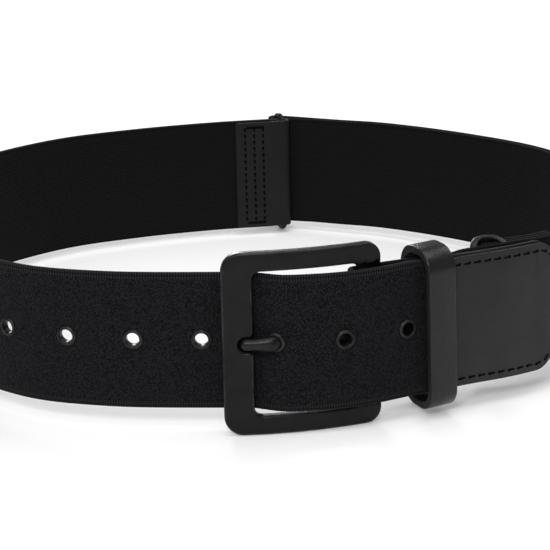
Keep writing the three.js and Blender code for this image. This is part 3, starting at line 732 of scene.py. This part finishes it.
def column_of_stitches(x, half, pitch):
    """Stitch places up one line across a strap, each leaning a little."""
    lean = 0.1
    count = round(half * 2 / pitch)
    step = half * 2 / count
    return [(x, -half + step * (number + 0.5), TURN / 4 + lean) for number in range(count)]


def along_outline(points, pitch):
    """Stitch places along a line of flat points, each leaning a little."""
    lean = 0.08
    spots = []
    carried = pitch / 2
    for start, end in zip(points, points[1:]):
        step = Vector((end[0] - start[0], end[1] - start[1]))
        angle = math.atan2(step.y, step.x)
        while carried < step.length:
            here = Vector(start) + step * (carried / step.length)
            spots.append((here.x, here.y, angle + lean))
            carried += pitch
        carried -= step.length
    return spots


# Where the eyelet band runs, and its eyelets along it
BAND_START = 6
BAND_EASES = 5
climb_start = FRAME_ALONG + WINDOW_LEFT + WINDOW_SETBACK
band_rows = follow([
    (RING_ALONG - loop.length + BAND_START, BAND_THICK / 2),
    (climb_start, BAND_THICK / 2),
    (-CLIMB_HALF, HOLE_OUT - CLIMB_RISE),
    (0, HOLE_OUT, True),
    (CLIMB_HALF, HOLE_OUT + CLIMB_RISE, True),
])
free_rows = follow([
    (TIP_START - 6.5, FREE_START_OUT + EYELET_SEAT),
    (TIP_START, FREE_OUT),
    (TIP_SHOULDER + TIP_TAPER, FREE_OUT),
])
over_bar = frame_arc(HINGE_LEFT - 10.5, HALF_FRAME, FREE_FRONT, 14)
band_route = Route(relaxed([*band_rows, *over_bar, *free_rows], BAND_EASES))
hole_at = band_route.nearest(loop.place(0, HOLE_OUT)[0])
eyelets_at = [
    hole_at + number * EYELET_PITCH - (EYELET_STRETCH if number < 0 else 0)
    for number in range(-COUNT_BEFORE_PRONG, COUNT_AFTER_PRONG + 1)
]


def tip_points(inset=0):
    """The tip's outline in the flat, from its start at x = 0 round the nose and back."""
    corner_steps, nose_steps = 5, 6
    half = TIP_WIDTH / 2 - inset
    shoulder = TIP_SHOULDER - TIP_START
    nose = shoulder + TIP_TAPER - inset
    slope = math.atan2(TIP_WIDTH / 2 - TIP_NOSE, TIP_TAPER)
    set_back = TIP_CORNER * math.tan(slope / 2)
    nose_half = TIP_NOSE - inset
    upper = [(0, half)]
    for step in range(corner_steps + 1):
        angle = slope * step / corner_steps
        upper.append((
            shoulder - set_back + TIP_CORNER * math.sin(angle),
            half - TIP_CORNER * (1 - math.cos(angle)),
        ))
    start = (nose - nose_half / 2, nose_half)
    bend = (nose, nose_half - nose_half / 4)
    for step in range(nose_steps + 1):
        share = step / nose_steps
        upper.append((
            start[0] * (1 - share) ** 2 + bend[0] * 2 * share * (1 - share) + nose * share**2,
            start[1] * (1 - share) ** 2 + bend[1] * 2 * share * (1 - share),
        ))
    lower = [(x, -y) for x, y in reversed(upper[:-1])]
    return [*upper, *lower]


def make_band():
    """The 50 mm band with its seven eyelet holes, pointed inside the tip."""
    mesh = bmesh.new()
    tip_at = band_route.nearest(loop.place(TIP_START, FREE_OUT)[0])
    half = BAND_WIDTH / 2
    inside_tip = 0.75
    pointed = [(x + tip_at, y) for x, y in tip_points(inside_tip) if x > 1]
    outline(mesh, [(0, -half), (tip_at, -half), *reversed(pointed), (tip_at, half), (0, half)])
    for along in eyelets_at:
        turn = Matrix.Translation((along, EYELET_RISE, 0))
        bmesh.ops.create_circle(mesh, segments=28, radius=HOLE_RADIUS, matrix=turn)
    filled(mesh)
    thickened(mesh, BAND_THICK, KNIT_ROUNDING)
    cut_across(mesh, band_route.cuts())
    flat_map(mesh)
    sides(mesh, 0, 1, 0)
    band_route.bend(mesh)
    new_piece("knitted_eyelet_band", mesh, [BAND_OUTSIDE, BAND_INSIDE], "elastic", "eyelet_band")


def make_eyelets():
    """Two-part eyelets: a rolled collar round the bore and a domed washer round that, on both faces."""
    seat = BAND_THICK / 2
    barrel = [(EYELET_BORE, 0), (EYELET_BORE, seat + 0.25)]
    collar = [
        (EYELET_BORE + 0.12, seat + 0.5), (EYELET_BORE + 0.36, seat + 0.62),
        (EYELET_BORE + 0.58, seat + 0.5), (EYELET_BORE + 0.66, seat + 0.32),
    ]
    washer = [
        (EYELET_BORE + 0.82, seat + 0.42), (EYELET_RIM - 0.12, seat + 0.3), (EYELET_RIM, seat + 0.12),
        (EYELET_RIM - 0.05, seat - 0.05), (HOLE_RADIUS - 0.1, seat - 0.05), (HOLE_RADIUS - 0.2, 0),
    ]
    # Profile points marked for edge lightening: scuffing and, on this metal, a painted highlight.
    worn = {3, 6, 7}
    for number, along in enumerate(eyelets_at, start=1):
        mesh = bmesh.new()
        layer = mesh.verts.layers.float.new("edge")
        corners = []
        for index, (radius, height) in enumerate([*barrel, *collar, *washer]):
            vert = mesh.verts.new((radius, 0, height))
            vert[layer] = 1 if index in worn else 0
            corners.append(vert)
        rim = [mesh.edges.new(pair) for pair in zip(corners, corners[1:])]
        bmesh.ops.spin(
            mesh, geom=corners + rim, cent=(0, 0, 0), axis=UP, angle=TURN,
            steps=EYELET_STEPS, use_merge=True,
        )
        bmesh.ops.mirror(mesh, geom=whole(mesh), merge_dist=NEAR, axis="Z")
        bmesh.ops.remove_doubles(mesh, verts=list(mesh.verts), dist=NEAR)
        bmesh.ops.recalc_face_normals(mesh, faces=list(mesh.faces))
        point, run = band_route.at(along)
        outward = run.cross(UP)
        turn = Matrix((run, UP, outward)).transposed().to_4x4()
        mesh.transform(Matrix.Translation(point + UP * EYELET_RISE) @ turn)
        new_piece(f"rolled_eyelet_{number}", mesh, [EYELET_METAL], "eyelet_metal", f"eyelet_{number}")


def make_tip():
    """Two leather plies, one each side of the band's free end, with a row of stitches on each."""
    stitch_mesh = bmesh.new()
    seam_inset = 2.8
    cuts = [2 * step for step in range(1, 33)]
    for name, out, front in (("inner", TIP_INNER_OUT, -1), ("outer", TIP_OUTER_OUT, 1)):
        route = Route(follow([(TIP_START, out), (TIP_SHOULDER + TIP_TAPER * 1.5, out)]))
        mesh = bmesh.new()
        outline(mesh, list(reversed(tip_points())))
        filled(mesh)
        thickened(mesh, TIP_PLY, PLY_ROUNDING)
        cut_across(mesh, cuts)
        flat_map(mesh)
        sides(mesh, 0, 0, 1)
        route.bend(mesh)
        new_piece(f"tip_{name}_leather", mesh, [TIP_LEATHER, RAW_EDGE], "leather", f"tip_{name}_ply")
        row = bmesh.new()
        sewn = along_outline(tip_points(seam_inset), STITCH_PITCH)
        stitches(row, sewn, front * (TIP_PLY / 2 + STITCH_LIFT))
        route.bend(row)
        part = bpy.data.meshes.new("row")
        row.to_mesh(part)
        row.free()
        stitch_mesh.from_mesh(part)
        bpy.data.meshes.remove(part)
    new_piece("tip_stitches", stitch_mesh, [STITCH_THREAD, NEEDLE_HOLE_SHADE], "leather")


def make_strap():
    """One length of webbing: sewn round the slider, round the rear ring, and back to the hinge bar."""
    tail_length, sewn_length = 27, 33
    ease, short = 13, 1.5
    ring_lead_in, ring_lead_out = 12, 19
    slider_lead, buckle_lead = 10, 12
    fold_clearance = 1.6
    slot_half, slot_reach = 3.3, 4
    middle_out = -GAP - STRAP_THICK - GAP - SLIDER_BAR / 2
    bend_radius = SLIDER_BAR / 2 + GAP + STRAP_THICK / 2
    under_out = middle_out + bend_radius
    tail_out = middle_out - bend_radius
    far = SLIDER_ALONG + SLIDER_LENGTH / 2
    near = SLIDER_ALONG - SLIDER_LENGTH / 2
    under = STRAP_THICK + GAP
    slider_point, _, slider_outward = loop.place(SLIDER_ALONG, middle_out)
    tail = follow([
        (SLIDER_ALONG + tail_length, RETURN_OUT - under),
        (far + ease, RETURN_OUT - under),
        (far, under_out - under),
        (SLIDER_ALONG + short, tail_out),
    ])
    first_turn = turn_round(slider_point, bend_radius, angle_of(slider_outward) + math.pi, math.pi)
    first = follow([
        (SLIDER_ALONG + short, under_out), (far, under_out),
        (far + ease, RETURN_OUT), (RING_ALONG - ring_lead_in, RETURN_OUT),
    ])
    ring_side = loop.place(RING_ALONG - ring_lead_out)[2]
    second_turn = turn_round(strap_bar, STRAP_BEND, angle_of(ring_side) + math.pi, -math.pi)
    hinge_end = FRAME_ALONG + HALF_FRAME
    second = follow([
        (RING_ALONG - ring_lead_out, LONG_OUT), (far + ease, LONG_OUT),
        (far + short, RETURN_OUT), (near - short, RETURN_OUT),
        (near - slider_lead, LONG_OUT), (hinge_end + buckle_lead, LONG_OUT),
    ])
    fold_radius = (FOLD_BACK - FOLD_FRONT) / 2
    fold_spot = on_frame(
        HINGE_LEFT - fold_clearance - STRAP_THICK / 2 + fold_radius, (FOLD_BACK + FOLD_FRONT) / 2,
    )
    fold_start = angle_of(frame_outward) + HINGE_LEFT / FRAME_BOW
    third_turn = turn_round(fold_spot, fold_radius, fold_start, -math.pi)
    third = follow([
        (hinge_end + buckle_lead, RETURN_OUT), (FRAME_ALONG + HINGE_LEFT + sewn_length, RETURN_OUT),
    ])
    points = [
        *tail, *first_turn, *first, *second_turn, *second,
        *frame_arc(HALF_FRAME, HINGE_LEFT, FOLD_FRONT, 6)[:-1], *third_turn,
        *frame_arc(HINGE_LEFT + 1, HALF_FRAME, FOLD_BACK, 6), *third,
    ]
    route = Route(relaxed(points, 2))
    mesh = bmesh.new()
    half = STRAP_WIDTH / 2
    slot_start = route.nearest(on_frame(HALF_FRAME + slot_reach, FOLD_FRONT))
    slot_end = route.nearest(on_frame(HALF_FRAME + slot_reach, FOLD_BACK))
    outline(mesh, box_points(0, route.length, -half, half))
    rounded_outline(mesh, box_points(slot_start, slot_end, -slot_half, slot_half), [slot_half - 0.1] * 4, 4)
    filled(mesh)
    thickened(mesh, STRAP_THICK, 0.7)
    cut_across(mesh, route.cuts())
    flat_map(mesh)
    route.bend(mesh)
    new_piece("knitted_adjusting_strap", mesh, [STRAP_KNIT], "elastic", "adjusting_strap")
    sewn = bmesh.new()
    seam_half, seam_pitch, stitch_length = half - 2, 3.0, 2.2
    for x in (3.5, 7.0):
        for spot, level in ((x, STRAP_THICK / 2), (route.length - x, -STRAP_THICK / 2)):
            stitches(sewn, column_of_stitches(spot, seam_half, seam_pitch), level, length=stitch_length)
    route.bend(sewn)
    new_piece("strap_end_stitches", sewn, [STITCH_THREAD, NEEDLE_HOLE_SHADE], "elastic")


def make_tab():
    """Leather folded round the ring's near bar and sewn over the band's end, inside and out."""
    corner, rounding = 1.2, 0.42
    seam_rows, seam_margin, seam_pitch = (4.2, 8.3, 12.3), 2.2, 2.9
    end = RING_ALONG + TAB_LENGTH
    beside_ring = RING_ALONG + 3
    inner = follow([(end, TAB_INNER), (beside_ring, TAB_INNER)])
    turn = turn_round(tab_bar, TAB_BEND, angle_of(ring_outward) + math.pi, math.pi)
    outer = follow([
        (beside_ring, TAB_INNER + TAB_BEND * 2 + GAP), (RING_ALONG + 10, TAB_OUTER), (end, TAB_OUTER),
    ])
    route = Route(relaxed([*inner, *turn, *outer], 2))
    mesh = bmesh.new()
    half = TAB_WIDTH / 2
    rounded_outline(mesh, box_points(0, route.length, -half, half), [corner] * 4, 3)
    filled(mesh)
    thickened(mesh, TAB_LEATHER, rounding)
    cut_across(mesh, route.cuts())
    flat_map(mesh)
    sides(mesh, 0, 0, 1)
    route.bend(mesh)
    new_piece("rear_tab_leather", mesh, [TAB_HIDE, DARK_EDGE], "leather", "rear_tab")
    sewn = bmesh.new()
    level = TAB_LEATHER / 2 + 0.05
    seam_half = half - seam_margin
    for x in seam_rows:
        for spot in (x, route.length - x):
            stitches(sewn, column_of_stitches(spot, seam_half, seam_pitch), level, length=1.3)
    for spot in (seam_rows[1], route.length - seam_rows[1]):
        turns = [(spot + shift, side * seam_half, 0) for side in (-1, 1) for shift in (-3, -1, 1, 3)]
        stitches(sewn, turns, level, length=1.6, width=1.3)
    route.bend(sewn)
    new_piece("tab_stitches", sewn, [STITCH_THREAD, NEEDLE_HOLE_SHADE], "leather")


def make_frame():
    """The bowed frame, with a notch for the prong in its left bar and a thinner hinge bar at its right."""
    left_corner, right_corner, window_corner, mouth_corner = 7, 5.5, 2.8, 1.5
    notch_corner = NOTCH_HALF - 0.02
    rounding = 0.9
    first_cut, cut_step, cuts = -27, 1.8, 31
    recess_half = 26
    mesh = bmesh.new()
    high = FRAME_HEIGHT / 2
    corners = [left_corner, right_corner, right_corner, left_corner]
    rounded_outline(mesh, box_points(-HALF_FRAME, HALF_FRAME, -high, high), corners, 8)
    notch_end = WINDOW_LEFT - NOTCH_HALF * 2
    window = [
        (WINDOW_LEFT, -WINDOW_HALF), (HINGE_LEFT, -WINDOW_HALF), (HINGE_LEFT, WINDOW_HALF),
        (WINDOW_LEFT, WINDOW_HALF), (WINDOW_LEFT, NOTCH_HALF), (notch_end, NOTCH_HALF),
        (notch_end, -NOTCH_HALF), (WINDOW_LEFT, -NOTCH_HALF),
    ]
    radii = [*[window_corner] * 4, mouth_corner, notch_corner, notch_corner, mouth_corner]
    rounded_outline(mesh, window, radii, 6)
    filled(mesh)
    thickened(mesh, FRAME_THICK, rounding, segments=4)
    cut_across(mesh, [first_cut + cut_step * step for step in range(cuts)])
    cut_across(mesh, (-26.1, -25.9, 25.9, 26.1), way=HIGH)
    flat_map(mesh)
    half = FRAME_THICK / 2
    recess = half - HINGE_RECESS
    for vert in mesh.verts:
        if vert.co.x > HINGE_LEFT - 0.2 and abs(vert.co.y) < recess_half and vert.co.z > recess:
            vert.co.z = recess
    for vert in mesh.verts:
        vert.co = on_frame(vert.co.x, half - vert.co.z, vert.co.y)
    new_piece("bowed_buckle_frame", mesh, [BUCKLE_METAL], "black_metal", "buckle_frame")


def make_prong():
    """A round pin from the notch, down through its eyelet, back to an eye round the hinge bar."""
    through = loop.place(0, HOLE_OUT)[0] + UP * EYELET_RISE + frame_run * 0.3
    dive = Matrix.Rotation(math.radians(PRONG_DIVE), 3, "Z") @ frame_run
    reach = WINDOW_LEFT - NOTCH_HALF * 2 + 1.7
    tip = on_frame(reach - 0.6, -0.25, 0.5)
    hinge = on_frame(HINGE_LEFT - PRONG_END, HINGE_RECESS + HINGE_BAR_THICK / 2, -1.2)
    corners = [tip, through - dive * 2.9, through + dive * 3.1, hinge]
    fine = []
    for start, end in zip(corners, corners[1:]):
        fine.extend(start.lerp(end, step / 30) for step in range(30))
    fine.append(corners[-1])
    route = Route(relaxed(fine, 36))
    radius = PRONG_THICK / 2
    shank_steps, eye_steps = 70, 60
    stations = []
    for step in range(shank_steps + 1):
        distance = route.length * step / shank_steps
        point, run = route.at(distance)
        close = max(0.0, 1 - distance / radius)
        end = math.sqrt(max(0.02, 1 - close * close))
        flat = 1 - 0.16 * max(0.0, 1 - distance / 12)
        tall = 1.06 + 0.34 * min(1.0, max(0.0, (distance - 5) / 5))
        stations.append((point, run.cross(UP), UP, radius * end * tall, radius * min(end, flat)))
    mesh = swept(stations, round_section(20, 0.25))
    new_piece("round_prong", mesh, [PRONG_METAL], "black_metal", "prong")
    half_wall, half_high = 0.75, 2.5
    out = HINGE_BAR_THICK / 2 + GAP + half_wall
    mid = FRAME_THICK - HINGE_BAR_THICK / 2
    left = HINGE_LEFT - PRONG_END
    right = HALF_FRAME - 1
    eye = Route([
        *frame_arc(right, left + out, mid - out, 8),
        *turn_round(on_frame(left + out, mid), out, angle_of(frame_outward), -math.pi, 14)[1:-1],
        *frame_arc(left + out, right, mid + out, 8),
    ])
    stations = []
    for step in range(eye_steps + 1):
        point, run = eye.at(eye.length * step / eye_steps)
        stations.append((point, run.cross(UP), UP, 1, 1))
    mesh = swept(stations, rounded_section(half_high, half_wall, 0.3))
    new_piece("prong_eye", mesh, [PRONG_METAL], "black_metal")


def make_slider():
    """A three-bar slide, arched outwards so that its outer bars lie over the strap."""
    outer_corner, open_corner, bar_corner = 6.5, 3.0, 1.1
    window_clearance = 0.35
    rounding = 0.6
    first_cut, cut_step, cuts = -7.8, 0.6, 27
    bow_out = -GAP - STRAP_THICK - GAP - SLIDER_BAR / 2
    outer_out = RETURN_OUT + STRAP_THICK / 2 + GAP + SLIDER_OUTER_BAR / 2
    rise = outer_out - bow_out
    span = SLIDER_LENGTH / 2 - SLIDER_BAR / 2
    bow = (span * span + rise * rise) / (2 * rise)
    half = SLIDER_LENGTH / 2
    window_high = STRAP_WIDTH / 2 + window_clearance
    high = window_high + SLIDER_RAIL
    mesh = bmesh.new()
    rounded_outline(mesh, box_points(-half, half, -high, high), [outer_corner] * 4, 8)
    for side in (-1, 1):
        ends = sorted((side * SLIDER_BAR / 2, side * (half - SLIDER_BAR)))
        left, right = (bar_corner, open_corner) if side > 0 else (open_corner, bar_corner)
        window = box_points(ends[0], ends[1], -window_high, window_high)
        rounded_outline(mesh, window, [left, right, right, left], 5)
    filled(mesh)
    thickened(mesh, SLIDER_RAIL + 0.8, rounding)
    cut_across(mesh, [first_cut + cut_step * step for step in range(cuts)])
    flat_map(mesh)
    sweep = math.asin(min(1.0, span / bow))
    for vert in mesh.verts:
        angle = max(-TURN / 4, min(TURN / 4, vert.co.x / half * sweep))
        depth = bow - vert.co.z
        point, _, outward = loop.place(SLIDER_ALONG + depth * math.sin(angle))
        vert.co = point + outward * (bow_out + bow - depth * math.cos(angle)) + UP * vert.co.y
    new_piece("arched_slider", mesh, [WIRE_METAL], "black_metal", "slider")


def rounded_walk(half_x, half_y, radius, corner_steps, side_step):
    """Places round a rounded box: the point and the way out, evenly spaced on its straight sides."""
    places = []
    for number in range(4):
        centre = Vector((
            (half_x - radius) * (1 if number in (0, 3) else -1),
            (half_y - radius) * (1 if number in (0, 1) else -1),
        ))
        for step in range(corner_steps + 1):
            angle = math.pi / 2 * (number + step / corner_steps)
            out = Vector((math.cos(angle), math.sin(angle)))
            places.append((centre + out * radius, out))
        after = places[-1]
        flat = (half_x if number in (0, 2) else half_y) - radius
        count = max(1, round(flat * 2 / side_step))
        along = Vector((-after[1].y, after[1].x))
        places.extend(
            (after[0] + along * flat * 2 * step / count, after[1]) for step in range(1, count)
        )
    return places


def make_keeper():
    """A leather loop round all the layers, with painted cut edges."""
    wall_rounding, cut_facing = 0.55, 0.72
    point, run, outward = loop.place(KEEPER_ALONG, KEEPER_OUT)
    point = point + UP * KEEPER_RISE
    lean = Matrix.Rotation(math.radians(-KEEPER_LEAN), 3, outward)
    across, upward = lean @ run, lean @ UP
    half_wall = KEEPER_WALL / 2
    stations = []
    for place, out in rounded_walk(
        KEEPER_DEPTH / 2 - half_wall, KEEPER_HEIGHT / 2 - half_wall, KEEPER_CORNER - half_wall, 10, 3,
    ):
        here = point + outward * place.x + upward * place.y
        stations.append((here, outward * out.x + upward * out.y, across, 1, 1))
    mesh = swept(stations, rounded_section(KEEPER_WIDTH / 2, half_wall, wall_rounding), closed=True)
    for face in mesh.faces:
        face.material_index = 1 if abs(face.normal.dot(across)) > cut_facing else 0
    new_piece("leather_keeper_loop", mesh, [KEEPER_LEATHER, DARK_EDGE], "leather", "keeper")


def make_ring():
    """A wire ring, narrow and tall, with round ends that stand past the webbing."""
    end_clearance = 0.6
    middle = tab_bar.lerp(strap_bar, 0.5) - UP * RING_DROP
    run = UP.cross(ring_across)
    half = RING_PITCH / 2
    high = TAB_WIDTH / 2 + end_clearance + RING_WIRE / 2
    radius = RING_WIRE / 2
    stations = []
    for place, out in rounded_walk(half, high, half - 0.3, 10, 3):
        here = middle + ring_across * place.x + UP * place.y
        stations.append((here, ring_across * out.x + UP * out.y, run, radius, radius))
    mesh = swept(stations, round_section(16, 0.3), closed=True)
    new_piece("wire_ring", mesh, [WIRE_METAL], "black_metal", "rear_ring")


make_band()
make_eyelets()
make_tip()
make_strap()
make_tab()
make_frame()
make_prong()
make_slider()
make_keeper()
make_ring()


def set_stage():
    """A pale floor under soft lights."""
    floor_size, world_strength = 6, 0.2
    floor = bmesh.new()
    bmesh.ops.create_grid(floor, x_segments=1, y_segments=1, size=floor_size)
    data = bpy.data.meshes.new("floor")
    floor.to_mesh(data)
    floor.free()
    plane = bpy.data.objects.new("floor", data)
    bpy.context.scene.collection.objects.link(plane)
    paper = Finish(
        "white_paper", Base_Color=(0.82, 0.82, 0.82, 1), Roughness=0.9, Specular_IOR_Level=0.1,
        Emission_Color=(1, 1, 1, 1), Emission_Strength=0.13,
    )
    data.materials.append(paper.material)
    world = bpy.data.worlds.new("studio")
    world.use_nodes = True
    background = world.node_tree.nodes["Background"]
    background.inputs["Color"].default_value = (1, 1, 1, 1)
    background.inputs["Strength"].default_value = world_strength
    bpy.context.scene.world = world
    for name, place, size, power in (
        ("overhead", (0.1, -0.1, 1.1), 1.0, 7.5),
        ("front_softbox", (-0.15, -1.05, 0.85), 0.45, 7),
        ("left_front", (-0.9, -0.8, 0.9), 0.8, 3.5),
        ("right_rear", (0.8, 0.7, 0.9), 0.8, 3.5),
        ("rear_softbox", (-0.3, 1.4, 0.55), 0.45, 10),
    ):
        lamp = bpy.data.lights.new(name, "AREA")
        lamp.shape = "DISK"
        lamp.size = size
        lamp.energy = power
        light = bpy.data.objects.new(name, lamp)
        light.location = place
        light.rotation_euler = (-Vector(place)).to_track_quat("-Z", "Y").to_euler()
        bpy.context.scene.collection.objects.link(light)


def set_camera():
    """The photograph's camera: rolled by 1.3 degrees, and looking down by 18."""
    down, roll = 0.31701, -0.02272
    distance, rise = 765, 237.6
    sensor, lens, furthest = 36, 130.909, 50
    right = Vector((math.cos(roll), math.sin(roll) * math.sin(down), math.sin(roll) * math.cos(down)))
    up = Vector((-math.sin(roll), math.cos(roll) * math.sin(down), math.cos(roll) * math.cos(down)))
    back = Vector((0, -math.cos(down), math.sin(down)))
    turn = Matrix((right, up, back)).transposed().to_4x4()
    local = Matrix.Translation((0, -distance, rise)) @ turn
    stood = STAND @ local
    data = bpy.data.cameras.new("camera")
    data.sensor_width = sensor
    data.lens = lens
    data.clip_end = furthest
    camera = bpy.data.objects.new("camera", data)
    place, facing = stood.to_translation(), stood.to_quaternion()
    camera.matrix_world = Matrix.LocRotScale(place, facing, Vector((1, 1, 1)))
    bpy.context.scene.collection.objects.link(camera)
    bpy.context.scene.camera = camera


set_stage()
set_camera()
bpy.context.scene.view_settings.view_transform = "Standard"
